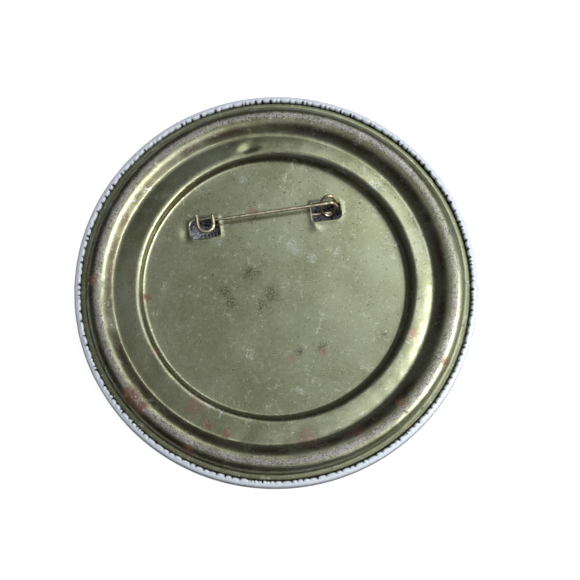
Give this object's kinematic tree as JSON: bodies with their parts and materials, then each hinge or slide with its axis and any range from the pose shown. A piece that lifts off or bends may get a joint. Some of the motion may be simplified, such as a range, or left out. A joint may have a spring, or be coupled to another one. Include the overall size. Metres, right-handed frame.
{
  "type": "button badge",
  "caption": "Round pin-back badge: film and paper over a domed tin shell, a pressed lacquered back plate with slots, and a sprung wire pin under a hook.",
  "frame": {"origin": "lowest point of the domed face, on the surface the badge lies on", "axes": "+Z out of the back, +X along the pin from hook to coil, +Y from the centre towards the pin, the badge's top"},
  "size_m": [0.1, 0.1, 0.0102],
  "materials": {
    "clear_film": "clear polyester film, glossy, finely scuffed",
    "printed_paper": "white printed paper under film",
    "bare_tinplate": "bare tinplate, dull silver, spotted with corrosion",
    "lacquered_tinplate": "olive-gold lacquered tinplate, scratched, worn to speckled grey on its crests",
    "pin_wire": "brassed spring wire, tarnished"
  },
  "bodies": {
    "badge_body": {"clear_film": "clear_film", "printed_paper": "printed_paper", "front_shell": "bare_tinplate", "back_plate": "lacquered_tinplate", "pin_base_wire": "pin_wire", "pin_coil": "pin_wire", "pin_hook": "pin_wire"},
    "arm": {"pin_arm": "pin_wire"}
  },
  "joints": [
    {"name": "pin_opening", "type": "hinge", "parent": "badge_body", "child": "arm", "pos_m": [0.01558, 0.019, 0.0086], "axis": [-0.9239, 0, 0.3827], "range_deg": [0, 180]}
  ]
}
